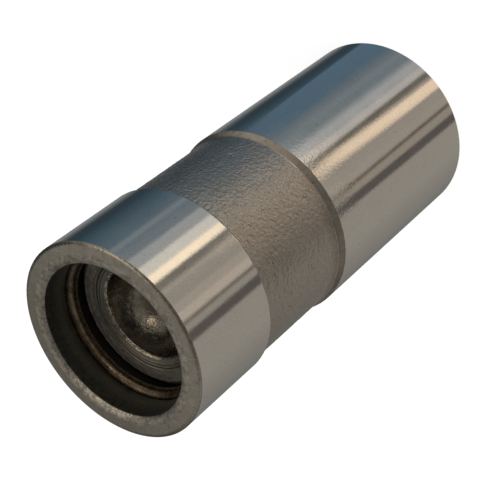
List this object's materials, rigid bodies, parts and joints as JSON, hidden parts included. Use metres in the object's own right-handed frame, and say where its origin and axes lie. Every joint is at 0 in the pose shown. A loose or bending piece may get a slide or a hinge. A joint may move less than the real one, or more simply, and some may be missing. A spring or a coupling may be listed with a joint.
{
  "type": "mechanical lifter",
  "caption": "Solid flat tappet: barrel with ground bands at both ends and a rough cast waist, with a retained push rod seat in its open mouth.",
  "frame": {"origin": "centre of the flat foot that rides on the cam, which is the bottom centre of the bounding box", "axes": "+Z along the barrel from the foot to the open mouth; the hidden oil feed hole of the waist is towards +Y, the ring's gap towards -Y"},
  "size_m": [0.0214, 0.0214, 0.0493],
  "materials": {
    "cast_iron": "ground bright on the bands and the rim, rough as cast on the waist",
    "ring_steel": "drawn wire, brown from heat treatment",
    "seat_steel": "turned, dull",
    "disc_steel": "ground"
  },
  "bodies": {
    "lifter": {"lifter_body": "cast_iron", "retaining_ring": "ring_steel", "pushrod_seat": "seat_steel"},
    "valve": {"metering_disc": "disc_steel"}
  },
  "joints": [
    {"name": "disc_lift", "type": "slide", "parent": "lifter", "child": "valve", "axis": [0, 0, 1], "range_m": [0, 0.00045]}
  ]
}
